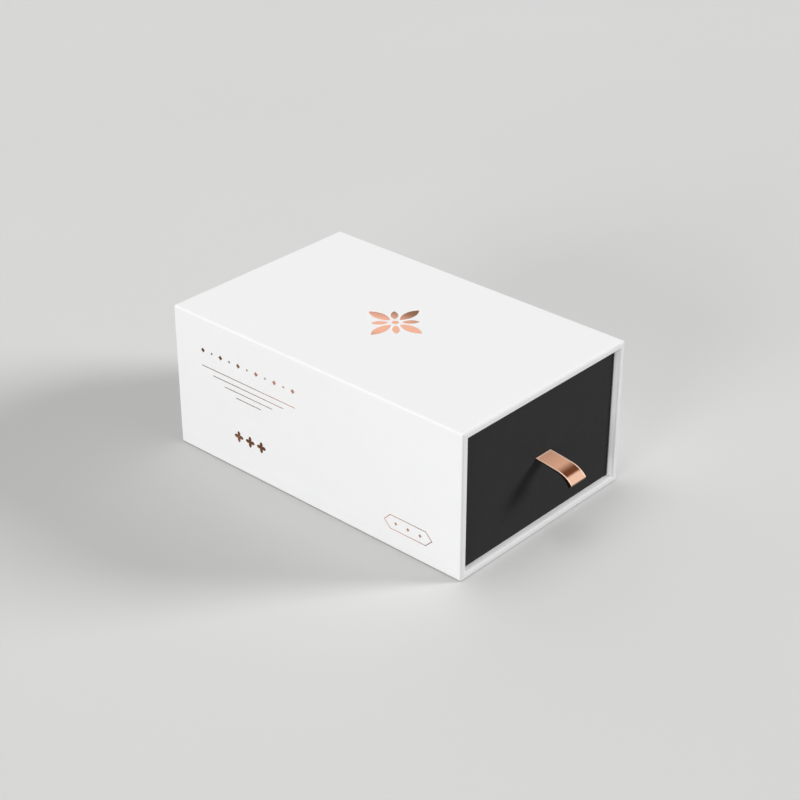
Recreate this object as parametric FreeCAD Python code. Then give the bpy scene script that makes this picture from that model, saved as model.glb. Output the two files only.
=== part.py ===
import FreeCAD, Part
import math
import os
from FreeCAD import Placement, Rotation, Vector

# A sliding drawer gift box: a sleeve of wrapped greyboard, closed at the back, and a lidless drawer
# that slides out of its mouth on a ribbon pull.
#
# Millimetres. X runs left to right as one faces the mouth, Y from the mouth to the back, Z up. The
# origin is the centre of the sleeve's underside. A box is kept as its two corners, (low, high).

# ---- Driving dimensions ----

# Sleeve, outside
sleeve_width = 150.0
sleeve_depth = 238.0
sleeve_height = 99.0

# Sheet materials
sleeve_board = 4.0        # greyboard of the sleeve, two layers laminated
drawer_board = 2.0        # greyboard of the drawer
paper = 0.25              # wrapping or lining paper with its film and glue
stay_tape = 0.1           # gummed tape that holds the boards' corners together
foil = 0.05               # stamped foil

# Wrapping
sleeve_fold_radius = 1.3  # outside radius where paper folds over the sleeve's boards
drawer_fold_radius = 0.7  # the same on the drawer
mouth_hem = 18.0          # paper turned in at the sleeve's mouth
flap_width = 15.0         # paper folded over the sleeve's base and back
sheet_margin = 2.0        # the sheets that cover those flaps stop this far inside the edges
stay_width = 14.0         # each leg of a corner stay
stay_end_gap = 6.0        # a stay stops this far from the ends of its corner

# Drawer in its sleeve
front_recess = 3.7        # drawer front behind the sleeve's mouth
side_clearance = 0.8
under_clearance = 0.25
over_clearance = 0.75
back_clearance = 0.5

# Ribbon pull
ribbon_width = 14.2
ribbon_thickness = 0.35
ribbon_offset = 3.3       # slit's middle to the right of the drawer front's middle
ribbon_rise = 0.2         # slit's middle above the drawer front's middle
tail_length = 25.0        # each end, glued flat inside the front board
root_gap = 0.2            # between the two layers where they leave the slit
tip_radius = 1.2          # inside the loop's end
tip_swell = 6             # how late along the loop its two layers part
slit_clearance = 0.15     # above and below the two layers
slit_side_clearance = 0.2
droop_runs = (1.0, 14.5, 11.6)     # the loop's bends, from the slit outwards: their lengths
droop_turns = (6.3, 3.4, 43.7)     # and how many degrees downwards each one turns
loop_stations = 12        # spans that shape each layer of the loop

# Stamped rosette, in the middle of the top
deboss = 0.15             # pressed this far into the paper
petal_count = 8           # long and short ones by turns
petal_start = 4.2         # from the rosette's centre
long_petal_tip = 22.0
short_petal_tip = 15.0
long_petal_width = 7.0
short_petal_width = 4.6
eye_radius = 2.2

# Stamped ornaments on the left side
ornament_margin = 24.0    # from the sleeve's back to the nearest ornament
divider_length = 82.0
divider_drop = 23.0       # below the sleeve's top
diamond_count = 11        # large and small ones by turns
diamond_size = 3.4
small_diamond_size = 1.8
rule_drop = 34.0          # first rule below the sleeve's top
rule_pitch = 4.2
rule_width = 0.5
rule_lengths = (82.0, 62.0, 42.0, 22.0)
floret_height = 25.0      # above the sleeve's underside
floret_count = 3
floret_pitch = 10.0
floret_radius = 4.0
floret_petals = 4
floret_petal_width = 2.6
cartouche_setback = 41.0  # its middle behind the mouth
cartouche_height = 18.2   # its middle above the sleeve's underside
cartouche_length = 38.0
cartouche_width = 10.0
cartouche_line = 0.5
cartouche_bead = 2.4

# ---- Boxes that the sheets of board and paper fill ----


def shrink(box, amount):
    low, high = box
    step = Vector(amount, amount, amount)
    return low + step, high - step


def hollow(box, wall, mouth):
    """The room inside walls of this thickness, carried out through the mouth's side of the box."""
    axis, side = {"front": (1, 0), "top": (2, 1)}[mouth]
    room = shrink(box, wall)
    room[side][axis] = box[side][axis]
    return room


lined_sleeve_wall = sleeve_board + 2 * paper
lined_drawer_wall = drawer_board + 2 * paper

# The closing sheets lie on the sleeve's base and back, so its wrap stops one paper short of them.
sleeve_paper = (Vector(-sleeve_width / 2, -sleeve_depth / 2, paper),
                Vector(sleeve_width / 2, sleeve_depth / 2 - paper, sleeve_height))
sleeve_core = shrink(sleeve_paper, paper)
sleeve_bay = hollow(sleeve_core, sleeve_board, "front")
sleeve_lined_bay = hollow(sleeve_paper, lined_sleeve_wall, "front")

bay_low, bay_high = sleeve_lined_bay
drawer_paper = (bay_low + Vector(side_clearance, front_recess, under_clearance),
                bay_high - Vector(side_clearance, back_clearance, over_clearance))
drawer_core = shrink(drawer_paper, paper)
drawer_bay = hollow(drawer_core, drawer_board, "top")
drawer_lined_bay = hollow(drawer_paper, lined_drawer_wall, "top")

# The slit's middle, on the outside of the drawer's front
slit = Vector(ribbon_offset, drawer_paper[0].y, (drawer_paper[0].z + drawer_paper[1].z) / 2 + ribbon_rise)
layer_inside = root_gap / 2
layer_outside = layer_inside + ribbon_thickness
tail_reach = layer_outside + tail_length
front_wall = paper + drawer_board


def block(low, high):
    size = high - low
    return Part.makeBox(size.x, size.y, size.z, low)


def on_surface(edge, box):
    """True when both ends of the edge lie on the surface of the box."""
    for vertex in edge.Vertexes:
        gaps = [abs(vertex.Point[axis] - side[axis]) for side in box for axis in range(3)]
        if min(gaps) > Part.Precision.confusion():
            return False
    return True


def runs_along(edge, axis):
    start, end = (vertex.Point for vertex in edge.Vertexes)
    return abs(abs((end - start)[axis]) - (end - start).Length) < Part.Precision.confusion()


def bevel(radius):
    """How far the flat that touches an arc of this radius in its middle reaches along each face."""
    return (2 - math.sqrt(2)) * radius


def board_case(outer, cavity, radius):
    """Greyboard walls round a cavity, with their outside edges and their rim pressed to a bevel."""
    case = block(*outer).cut(block(*cavity))
    return case.makeChamfer(bevel(radius), [edge for edge in case.Edges if on_surface(edge, outer)])


def paper_case(outer, cavity, radius):
    """What lies inside the papers' faces: the outer box less its cavity, rounded where paper folds."""
    case = block(*outer).cut(block(*cavity))
    return case.makeFillet(radius, [edge for edge in case.Edges if on_surface(edge, outer)])


def bevelled_bar(box, axis, radius):
    """The whole box with its four edges that run along the axis bevelled."""
    bar = block(*box)
    return bar.makeChamfer(bevel(radius), [edge for edge in bar.Edges if runs_along(edge, axis)])


def corner_stays(box, axis, radius):
    """A strip of tape round each of the box's four edges that run along the axis."""
    skin = bevelled_bar(shrink(box, -stay_tape), axis, radius + stay_tape)
    skin = skin.cut(bevelled_bar(box, axis, radius))
    for across in range(3):
        window = shrink(box, -stay_tape)
        trim = stay_end_gap if across == axis else stay_width
        window[0][across] = box[0][across] + trim
        window[1][across] = box[1][across] - trim
        inside = block(*window)
        skin = skin.common(inside) if across == axis else skin.cut(inside)
    return skin


# ---- Sleeve ----


def sleeve_boards(core):
    """Top and bottom across the full width, the sides between them and the back inside all four."""
    low, high = sleeve_core
    left, right = sleeve_bay[0].x, sleeve_bay[1].x
    floor, ceiling = sleeve_bay[0].z, sleeve_bay[1].z
    back = sleeve_bay[1].y
    regions = {
        "sleeve_top_board": (Vector(low.x, low.y, ceiling), high),
        "sleeve_bottom_board": (low, Vector(high.x, high.y, floor)),
        "sleeve_left_board": (Vector(low.x, low.y, floor), Vector(left, high.y, ceiling)),
        "sleeve_right_board": (Vector(right, low.y, floor), Vector(high.x, high.y, ceiling)),
        "sleeve_back_board": (Vector(left, back, floor), Vector(right, high.y, ceiling)),
    }
    return {name: core.common(block(*region)) for name, region in regions.items()}


def closing_sheet(axis, side):
    """Paper over the folded flaps on one side of the sleeve, its thicker middle level with them."""
    sheet = shrink(sleeve_paper, sheet_margin)
    field = shrink(sleeve_paper, flap_width)
    out = 1 if side else -1
    wrap_face = sleeve_paper[side][axis]
    for area, depth in ((sheet, out * paper), (field, -out * paper)):
        area[0][axis] = min(wrap_face, wrap_face + depth)
        area[1][axis] = max(wrap_face, wrap_face + depth)
    return block(*sheet).fuse(block(*field)).removeSplitter()


def sleeve_pieces():
    board_radius = sleeve_fold_radius - paper
    core = board_case(sleeve_core, sleeve_bay, board_radius)
    skin = paper_case(sleeve_paper, sleeve_lined_bay, sleeve_fold_radius).cut(core)
    stays = corner_stays(sleeve_core, 1, board_radius)
    bottom_sheet = closing_sheet(2, 0)
    back_sheet = closing_sheet(1, 1)

    hem_end = sleeve_paper[0].y + mouth_hem
    back_face = sleeve_lined_bay[1].y
    lined_low = Vector(sleeve_bay[0].x, hem_end, sleeve_bay[0].z)
    walls = block(lined_low, Vector(sleeve_bay[1].x, back_face, sleeve_bay[1].z))
    back = block(Vector(sleeve_bay[0].x, back_face, sleeve_bay[0].z), sleeve_bay[1])
    wall_lining = skin.common(walls)
    back_lining = skin.common(back)

    foils, pockets = stamped_ornaments()
    wrap = skin.cut([wall_lining, back_lining, bottom_sheet, back_sheet, stays] + pockets)
    pieces = sleeve_boards(core)
    pieces["sleeve_corner_stays"] = stays
    pieces["sleeve_wrap"] = wrap
    pieces["sleeve_bottom_sheet"] = bottom_sheet
    pieces["sleeve_back_sheet"] = back_sheet
    pieces["sleeve_wall_lining"] = wall_lining
    pieces["sleeve_back_lining"] = back_lining
    pieces.update(foils)
    return pieces


# ---- Stamped ornaments: flat faces in their own X and Y, then pressed into the paper ----


def outline_face(edges):
    return Part.Face(Part.Wire(Part.__sortEdges__(edges)))


def petal(start, tip, width, turn):
    """A pointed leaf between two arcs, turned this many degrees about the origin."""
    ends = Vector(start, 0, 0), Vector(tip, 0, 0)
    middle = (start + tip) / 2
    sides = [Part.Arc(ends[0], Vector(middle, side * width / 2, 0), ends[1]) for side in (1, -1)]
    leaf = outline_face([side.toShape() for side in sides])
    return leaf.rotate(Vector(0, 0, 0), Vector(0, 0, 1), turn)


def polygon_face(corners):
    return Part.Face(Part.makePolygon(corners + corners[:1]))


def diamond(size, centre):
    return polygon_face([centre + Vector(size / 2, 0, 0), centre + Vector(0, size / 2, 0),
                         centre - Vector(size / 2, 0, 0), centre - Vector(0, size / 2, 0)])


def bar(length, width, centre):
    return Part.makePlane(length, width, centre - Vector(length / 2, width / 2, 0))


def pointed_bar(length, width):
    """A bar with both ends drawn to a right-angled point."""
    shoulder = (length - width) / 2
    quarter = [(length / 2, 0), (shoulder, width / 2), (-shoulder, width / 2),
               (-length / 2, 0), (-shoulder, -width / 2), (shoulder, -width / 2)]
    return polygon_face([Vector(x, y, 0) for x, y in quarter])


def rosette():
    step = 360 / petal_count
    leaves = [Part.Face(Part.Wire(Part.makeCircle(eye_radius)))]
    for number in range(petal_count):
        tip, width = (short_petal_tip, short_petal_width) if number % 2 else (long_petal_tip, long_petal_width)
        leaves.append(petal(petal_start, tip, width, number * step))
    return leaves


def divider():
    pitch = (divider_length - diamond_size) / (diamond_count - 1)
    middle = (diamond_count - 1) / 2
    return [diamond(small_diamond_size if number % 2 else diamond_size, Vector((number - middle) * pitch, 0, 0))
            for number in range(diamond_count)]


def rules():
    return [bar(length, rule_width, Vector(0, -number * rule_pitch, 0))
            for number, length in enumerate(rule_lengths)]


def florets():
    middle = (floret_count - 1) / 2
    step = 360 / floret_petals
    leaves = []
    for number in range(floret_count):
        shift = Vector((number - middle) * floret_pitch, 0, 0)
        for leaf in range(floret_petals):
            leaves.append(petal(0.0, floret_radius, floret_petal_width, leaf * step).translate(shift))
    return leaves


def cartouche():
    inner_length = cartouche_length - 2 * math.sqrt(2) * cartouche_line
    inner_width = cartouche_width - 2 * cartouche_line
    frame = pointed_bar(cartouche_length, cartouche_width).cut(pointed_bar(inner_length, inner_width))
    pitch = cartouche_length / 4
    beads = [diamond(cartouche_bead, Vector(number * pitch, 0, 0)) for number in (-1, 0, 1)]
    return [frame] + beads


def stamp(faces, placement, depth):
    """Foil at the bottom of a pocket this deep, and the pocket itself, for each face."""
    foils = []
    pockets = []
    for face in faces:
        sunk = face.translated(Vector(0, 0, -depth))
        for height, made in ((foil, foils), (depth, pockets)):
            solid = sunk.extrude(Vector(0, 0, height))
            solid.Placement = placement.multiply(solid.Placement)
            made.append(solid)
    return Part.makeCompound(foils), pockets


def stamped_ornaments():
    outwards = Rotation(Vector(0, -1, 0), Vector(0, 0, 1), Vector(-1, 0, 0), "XYZ")
    column = sleeve_depth / 2 - ornament_margin - divider_length / 2
    mouth = -sleeve_depth / 2

    def on_side(across, height):
        return Placement(Vector(-sleeve_width / 2, across, height), outwards)

    top_middle = Placement(Vector(0, 0, sleeve_height), Rotation())
    stamps = {
        "top_foil_rosette": (rosette(), top_middle, deboss),
        "side_foil_divider": (divider(), on_side(column, sleeve_height - divider_drop), foil),
        "side_foil_rules": (rules(), on_side(column, sleeve_height - rule_drop), foil),
        "side_foil_florets": (florets(), on_side(column, floret_height), foil),
        "side_foil_cartouche": (cartouche(), on_side(mouth + cartouche_setback, cartouche_height), foil),
    }
    foils = {}
    pockets = []
    for name, (faces, placement, depth) in stamps.items():
        foils[name], cuts = stamp(faces, placement, depth)
        pockets.extend(cuts)
    return foils, pockets


# ---- Drawer ----


def drawer_boards(core, opening):
    """Front and back across the full width, the sides between them and the base inside all four."""
    low, high = drawer_core
    left, right = drawer_bay[0].x, drawer_bay[1].x
    front, back = drawer_bay[0].y, drawer_bay[1].y
    regions = {
        "drawer_front_board": (low, Vector(high.x, front, high.z)),
        "drawer_back_board": (Vector(low.x, back, low.z), high),
        "drawer_left_board": (Vector(low.x, front, low.z), Vector(left, back, high.z)),
        "drawer_right_board": (Vector(right, front, low.z), Vector(high.x, back, high.z)),
        "drawer_base_board": (Vector(left, front, low.z), Vector(right, back, drawer_bay[0].z)),
    }
    boards = {name: core.common(block(*region)) for name, region in regions.items()}
    boards["drawer_front_board"] = boards["drawer_front_board"].cut(opening)
    return boards


def beside_slit(width, height, outer_depth, inner_depth):
    """A block centred on the slit, between two depths behind the outside of the drawer's front."""
    low = slit + Vector(-width / 2, outer_depth, -height / 2)
    return block(low, slit + Vector(width / 2, inner_depth, height / 2))


def drawer_pieces():
    board_radius = drawer_fold_radius - paper
    core = board_case(drawer_core, drawer_bay, board_radius)
    skin = paper_case(drawer_paper, drawer_lined_bay, drawer_fold_radius).cut(core)
    stays = corner_stays(drawer_core, 2, board_radius)
    opening = beside_slit(ribbon_width + 2 * slit_side_clearance, 2 * (layer_outside + slit_clearance),
                          0, front_wall)
    tails_room = beside_slit(ribbon_width, 2 * tail_reach, front_wall, front_wall + ribbon_thickness)
    tails_cover = beside_slit(ribbon_width + 2 * paper, 2 * (tail_reach + paper),
                              front_wall, front_wall + ribbon_thickness + paper)
    liner_low = Vector(drawer_lined_bay[0].x, drawer_lined_bay[0].y, drawer_bay[0].z)
    liner_high = Vector(drawer_lined_bay[1].x, drawer_lined_bay[1].y, drawer_lined_bay[0].z)
    floor_liner = block(liner_low, liner_high)
    wrap = skin.fuse(tails_cover).removeSplitter()
    wrap = wrap.cut([tails_room, opening, stays, floor_liner])
    pieces = drawer_boards(core, opening)
    pieces["drawer_corner_stays"] = stays
    pieces["drawer_wrap"] = wrap
    pieces["drawer_floor_liner"] = floor_liner
    pieces["ribbon_pull"] = ribbon_pull()
    return pieces


# ---- Ribbon pull: one ribbon doubled into a loop, through the slit and glued inside by its tails ----


def at_slit(outwards, upwards):
    """A point of the ribbon's edge, from the slit's middle on the outside of the drawer's front."""
    return slit + Vector(-ribbon_width / 2, -outwards, upwards)


def droop_at(distance):
    """Place and heading on the loop's middle line, this far along it from the slit."""
    outwards = upwards = heading = 0.0
    for length, turn in zip(droop_runs, droop_turns):
        run = min(distance, length)
        half_turn = math.radians(turn) * run / length / 2
        chord = run * math.sin(half_turn) / half_turn if half_turn else run
        heading -= half_turn
        outwards += chord * math.cos(heading)
        upwards += chord * math.sin(heading)
        heading -= half_turn
        distance -= run
    return outwards, upwards, heading


def loop_point(share, side, depth):
    """A point on the loop: side is 1 on the upper layer, -1 on the lower and 0 at the tip."""
    outwards, upwards, heading = droop_at(share * sum(droop_runs))
    swell = share ** tip_swell * (1 + tip_swell * (1 - share))
    half = layer_inside + (tip_radius - layer_inside) * swell + depth
    direction = heading + side * math.pi / 2
    return at_slit(outwards + half * math.cos(direction), upwards + half * math.sin(direction))


def loop_layer(side, depth):
    points = [loop_point(station / loop_stations, side, depth) for station in range(loop_stations + 1)]
    heading = droop_at(sum(droop_runs))[2]
    curve = Part.BSplineCurve()
    curve.interpolate(Points=points, InitialTangent=Vector(0, -1, 0),
                      FinalTangent=Vector(0, -math.cos(heading), math.sin(heading)))
    return curve.toShape()


def tail_layer(side, depth):
    """From the outside of the drawer's front through the slit, round the board's edge to a tail's end."""
    height = layer_inside + depth
    bend = slit_clearance + layer_outside - height
    middle = (slit_clearance - front_wall, side * (layer_outside + slit_clearance))
    corner = bend * math.sqrt(0.5)
    start = at_slit(0, side * height)
    bend_start = at_slit(middle[0], side * height)
    bend_middle = at_slit(middle[0] - corner, middle[1] - side * corner)
    bend_end = at_slit(middle[0] - bend, middle[1])
    end = at_slit(middle[0] - bend, side * tail_reach)
    return [Part.LineSegment(start, bend_start).toShape(),
            Part.Arc(bend_start, bend_middle, bend_end).toShape(),
            Part.LineSegment(bend_end, end).toShape()], end


def ribbon_pull():
    edges = []
    ends = {}
    for depth in (0.0, ribbon_thickness):
        for side in (1, -1):
            tail, ends[side, depth] = tail_layer(side, depth)
            edges += tail + [loop_layer(side, depth)]
        tip = Part.Arc(loop_point(1, 1, depth), loop_point(1, 0, depth), loop_point(1, -1, depth))
        edges.append(tip.toShape())
    for side in (1, -1):
        edges.append(Part.LineSegment(ends[side, 0.0], ends[side, ribbon_thickness]).toShape())
    return outline_face(edges).extrude(Vector(ribbon_width, 0, 0))


# ---- One file for each node ----


def main():
    os.makedirs("parts", exist_ok=True)
    for name, shape in {**sleeve_pieces(), **drawer_pieces()}.items():
        shape.exportStep(os.path.join("parts", name + ".step"))
        print(f"{name:22s} {len(shape.Solids):3d} solid(s) {shape.Volume:12.2f} mm3, valid {shape.isValid()}")


main()
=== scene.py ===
# %% [markdown]
# A sliding drawer gift box.
# The real box is two shells of greyboard, each wrapped in one sheet of paper: a white sleeve that is
# open at one end, with ornaments stamped in rose gold foil, and a black drawer that is open at the
# top, with a satin ribbon to pull. The sizes come from the imported CAD model, which is the frame that
# every piece below is fitted to. This first cell loads it and keeps its parts.

# %% Load the frame
import math
import bmesh
import bpy
from mathutils import Matrix, Vector


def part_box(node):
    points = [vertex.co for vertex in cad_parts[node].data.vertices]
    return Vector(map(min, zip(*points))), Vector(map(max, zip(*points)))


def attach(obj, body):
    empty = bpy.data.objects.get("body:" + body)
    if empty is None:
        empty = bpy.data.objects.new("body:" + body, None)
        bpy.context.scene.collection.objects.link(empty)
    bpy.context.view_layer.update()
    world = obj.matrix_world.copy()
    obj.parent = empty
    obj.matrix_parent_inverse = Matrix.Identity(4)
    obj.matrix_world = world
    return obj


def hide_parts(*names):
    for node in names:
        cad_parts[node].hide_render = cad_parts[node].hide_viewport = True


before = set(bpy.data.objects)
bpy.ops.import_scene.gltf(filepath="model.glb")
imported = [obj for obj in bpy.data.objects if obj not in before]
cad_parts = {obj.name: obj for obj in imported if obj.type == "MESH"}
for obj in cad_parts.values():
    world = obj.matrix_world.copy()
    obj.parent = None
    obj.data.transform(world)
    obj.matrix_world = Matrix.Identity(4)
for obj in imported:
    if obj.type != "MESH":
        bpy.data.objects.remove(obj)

MM = 0.001
scene = bpy.context.scene
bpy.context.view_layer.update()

# %% [markdown]
# The camera stands in front of the box's mouth, off to its left and above it.
# A camera could be aimed with a constraint, but a place worked out from a turn, a rise and a
# distance says more plainly how the box is seen, and leaves nothing live in the scene.

# %% Camera
camera_turn = math.radians(-47.885)
camera_rise = math.radians(29.558)
camera_distance = 1169.4 * MM
camera_target = Vector((-0.6, -4.6, 46.2)) * MM


def direction_at(turn, rise):
    """Unit vector towards a place seen at this turn and rise from the box."""
    return Vector((math.sin(turn) * math.cos(rise), -math.cos(turn) * math.cos(rise), math.sin(rise)))


def put_in_scene(name, data):
    """A new object that holds this mesh, lamp or camera."""
    made = bpy.data.objects.new(name, data)
    scene.collection.objects.link(made)
    return made


camera_data = bpy.data.cameras.new("camera")
camera_data.lens = 84.2
camera_data.sensor_width = 36.0
camera_data.clip_start = 0.05
camera = put_in_scene("camera", camera_data)
towards_camera = direction_at(camera_turn, camera_rise)
camera.location = camera_target + towards_camera * camera_distance
camera.rotation_euler = (-towards_camera).to_track_quat("-Z", "Y").to_euler()
scene.camera = camera
scene.view_settings.view_transform = "Standard"
print("camera at", [round(part, 3) for part in camera.location])

# %% [markdown]
# Shader trees and geometry trees are both networks of nodes. They could be drawn by hand in the
# editor, but building them from a script keeps every number in sight. What a node gives out is kept
# as a Wire, which knows the tree it is in, so that a sum of wires and numbers can be written as a
# sum: each sign in it becomes a Math node. The other helpers stand for the nodes used most.

# %% Wires between nodes


def sign(operation, *fixed):
    """The method behind a sign: this operation on the wire, any fixed number and what it meets."""
    return lambda self, *others: self.calc(operation, *fixed, *others)


class Wire:
    """What a node gives out: a number, a colour, a place or geometry."""

    __add__ = __radd__ = sign("ADD")
    __mul__ = __rmul__ = sign("MULTIPLY")
    __sub__, __rsub__ = sign("SUBTRACT"), sign("MULTIPLY_ADD", -1.0)
    __truediv__, __mod__ = sign("DIVIDE"), sign("MODULO")
    __pow__, __abs__ = sign("POWER"), sign("ABSOLUTE")

    def __init__(self, socket):
        self.socket = socket
        self.tree = socket.id_data

    def calc(self, operation, *others):
        """The output of a Math node on this wire and the others."""
        return wire(self.tree, "ShaderNodeMath", dict(enumerate((self, *others))), operation=operation)


def feed(made, feeds):
    """Set a node's inputs, by name or number, to values or to wires from other nodes."""
    for name, value in feeds.items():
        if isinstance(value, Wire):
            made.id_data.links.new(value.socket, made.inputs[name])
        else:
            made.inputs[name].default_value = value


def node(tree, kind, feeds=None, **settings):
    """Add a node with these settings, and feed its inputs."""
    made = tree.nodes.new(kind)
    for name, value in settings.items():
        setattr(made, name, value)
    feed(made, feeds or {})
    return made


def wire(tree, kind, feeds=None, output=0, **settings):
    """Add a node, and take the wire from this output."""
    return Wire(node(tree, kind, feeds, **settings).outputs[output])


print("ready to wire nodes")

# %% Helpers for nodes


def dot(first, second):
    """How far the first vector reaches along the second."""
    feeds = {0: first, 1: second}
    return wire(first.tree, "ShaderNodeVectorMath", feeds, "Value", operation="DOT_PRODUCT")


def split(place):
    """The three numbers of a place."""
    return [Wire(part) for part in node(place.tree, "ShaderNodeSeparateXYZ", {0: place}).outputs]


def grey(level):
    """The same level of red, green and blue."""
    return level, level, level


def mix_colour(share, first, second):
    """The colour part of the way from the first to the second: each three numbers, or a wire."""
    first, second = [(*tone, 1.0) if isinstance(tone, tuple) else tone for tone in (first, second)]
    return wire(share.tree, "ShaderNodeMix", {0: share, 6: first, 7: second}, 2, data_type="RGBA")


def smooth_step(value, start, end):
    """0 before start, 1 after end, and smooth between them."""
    feeds = {"Value": value, "From Min": start, "From Max": end}
    return wire(value.tree, "ShaderNodeMapRange", feeds, "Result", interpolation_type="SMOOTHSTEP")


print("ready to mix, step and split")

# %% [markdown]
# The studio is a wide pale floor under a pale sky, with soft boxes: a key light from the front right,
# a fill from the left that also lights the long side, and weak ones from above and the back right.
# Each is a sun lamp with a wide disc: it throws a soft shadow as a soft box does, but lights the
# floor just as much far away as near, where an area lamp would leave a bright pool under itself.
# The three strong ones are kept out of reflections, because flat foil would mirror such a lamp as a
# burnt-out white disc; the weak one is there for the foil to mirror.
# A sky picture could do the same, but a sky made of nodes needs no file. It has one darker patch,
# the gap between the soft boxes: satin and foil only look like themselves with something dark to
# mirror. What the camera, metal and glass see is the pale sky; matt surfaces are lit by a lower
# level of it, so that the soft boxes still draw shadows.

# %% Sky
pale_sky = 0.68
lighting_sky = 0.30
gap_level = 0.02
gap_towards = Vector((0.66, 0.07, 0.75)).normalized()
gap_edge, gap_core = math.radians(21), math.radians(8)


def seen_directly(tree):
    """1 for what the camera sees itself, in metal or through glass; 0 for the light on matt surfaces."""
    path = node(tree, "ShaderNodeLightPath").outputs
    kinds = "Camera", "Glossy", "Transmission"
    seen, mirrored, through = [Wire(path[f"Is {kind} Ray"]) for kind in kinds]
    return seen.calc("MAXIMUM", mirrored).calc("MAXIMUM", through)


world = bpy.data.worlds.new("studio")
world.use_nodes = True
scene.world = world
tree = world.node_tree
tree.nodes.clear()
looking = wire(tree, "ShaderNodeTexCoord", output="Generated")
in_gap = smooth_step(dot(looking, gap_towards), math.cos(gap_edge), math.cos(gap_core))
sky_tone = mix_colour(seen_directly(tree), grey(lighting_sky), grey(pale_sky))
sky_tone = mix_colour(in_gap, sky_tone, grey(gap_level))
background = wire(tree, "ShaderNodeBackground", {"Color": sky_tone, "Strength": 1.0})
node(tree, "ShaderNodeOutputWorld", {"Surface": background})
print("sky", pale_sky, "to look at,", lighting_sky, "as light")

# %% Soft boxes


def soft_box(name, towards, width, level, mirrored):
    """A lamp this many degrees wide; a white card that faces it renders at this share of white."""
    lamp = bpy.data.lights.new(name, "SUN")
    lamp.angle = math.radians(width)
    lamp.energy = level * math.pi
    light = put_in_scene(name, lamp)
    light.visible_glossy = mirrored
    light.location = Vector(towards).normalized()
    light.rotation_euler = light.location.to_track_quat("Z", "Y").to_euler()


soft_box("key_light", towards=(0.68, -0.637, 0.37), width=20, level=0.91, mirrored=False)
soft_box("fill_light", towards=(-0.97, -0.13, 0.17), width=30, level=0.70, mirrored=False)
soft_box("top_light", towards=(-0.1, 0.15, 1.0), width=38, level=0.265, mirrored=False)
soft_box("rim_light", towards=(0.64, 0.56, 0.53), width=33, level=0.035, mirrored=True)
print("soft boxes: key from the front right, fill from the left, two weak ones from above and behind")

# %% [markdown]
# The floor is one wide sheet, so that it reaches past the picture in every view.
# A curved backdrop is usual in a studio; a floor whose tone meets the sky's does as well,
# and lets the camera go all the way round. Like the sky, it gives matt surfaces less light than
# it shows the camera. It lies a hair below the box, so that the two faces don't share one plane.

# %% Floor
floor_reach = 9.0
floor_drop = 0.05 * MM


def rectangle(low, high):
    """The four corners, anticlockwise."""
    return [(low[0], low[1]), (high[0], low[1]), (high[0], high[1]), (low[0], high[1])]


floor_mesh = bpy.data.meshes.new("floor")
floor_corners = rectangle((-floor_reach, -floor_reach), (floor_reach, floor_reach))
floor_mesh.from_pydata([(x, y, -floor_drop) for x, y in floor_corners], [], [(0, 1, 2, 3)])
floor = put_in_scene("floor", floor_mesh)
print("floor", 2 * floor_reach, "m wide")

# %% The floor's finish
floor_as_light = 0.48
floor_dim, floor_bright = (0.655, 0.655, 0.65), (0.675, 0.675, 0.67)


def new_finish(name):
    """An empty material, its tree, its shader, and the coordinates of the object it goes on."""
    material = bpy.data.materials.new(name)
    material.use_nodes = True
    tree = material.node_tree
    tree.nodes.clear()
    shader = node(tree, "ShaderNodeBsdfPrincipled")
    node(tree, "ShaderNodeOutputMaterial", {"Surface": Wire(shader.outputs[0])})
    return material, tree, shader, wire(tree, "ShaderNodeTexCoord", output="Object")


def set_shader(shader, **sockets):
    """Feed the shader's own sockets; an underscore stands for a space in a socket's name."""
    feed(shader, {name.replace("_", " "): value for name, value in sockets.items()})


def noise(place, per_metre, detail=2.0):
    """Soft noise between 0 and 1, with this many features to the metre."""
    feeds = {"Vector": place, "Scale": per_metre, "Detail": detail}
    return wire(place.tree, "ShaderNodeTexNoise", feeds, "Fac")


floor_finish, tree, shader, place = new_finish("pale_floor")
seen_tone = mix_colour(noise(place, per_metre=3.0), floor_dim, floor_bright)
tone = mix_colour(seen_directly(tree), grey(floor_as_light), seen_tone)
set_shader(shader, Base_Color=tone, Roughness=0.9, Specular_IOR_Level=0.1)
floor_mesh.materials.append(floor_finish)
print("made", floor_finish.name)

# %% [markdown]
# The papers. Wrapping paper for such boxes is a smooth sheet with a matt film over it: the film
# shows a very fine grain, and the board underneath telegraphs through as broad, faint waves.
# Both are too small to model, so they are bump in the material. Where the paper is folded it is
# polished a little, so less rough, and its colour there is painted: a painted highlight makes the
# white sheet paler on its folds, and painted shade makes the black one darker. The pieces carry a
# number for that, called fold, which is 1 on a fold and 0 on the flat; a piece without it reads as
# flat. At the sleeve's mouth the rim and its folds are painted grey, as painted shade on the rim that
# faces the front, and a second number, called rim, is 1 there.

# %% White wrapping paper
grain_per_metre, waves_per_metre = 2600.0, 85.0
cool_white, warm_white = (0.855, 0.856, 0.858), (0.872, 0.872, 0.870)
# the folds' tone is a painted highlight
fold_highlight_white = (0.925, 0.925, 0.923)
# the rim's tone is painted shade
rim_shade_white = (0.665, 0.667, 0.67)
matt, fold_polish, mottle = 0.74, 0.10, 0.06


def carried(tree, name):
    """The number of this name that the piece carries."""
    return wire(tree, "ShaderNodeAttribute", output="Fac", attribute_name=name)


def add_bump(shader, height, strength=1.0):
    """Let the surface seem to rise by this height, in metres."""
    feeds = {"Height": height, "Distance": 1.0, "Strength": strength}
    set_shader(shader, Normal=wire(height.tree, "ShaderNodeBump", feeds))


def paper_relief(shader, place, grain, waves):
    """Bump for paper and board: fine grain and broad waves, both in metres."""
    fine = grain * noise(place, grain_per_metre, detail=3.0)
    add_bump(shader, fine + waves * noise(place, waves_per_metre))


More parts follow.
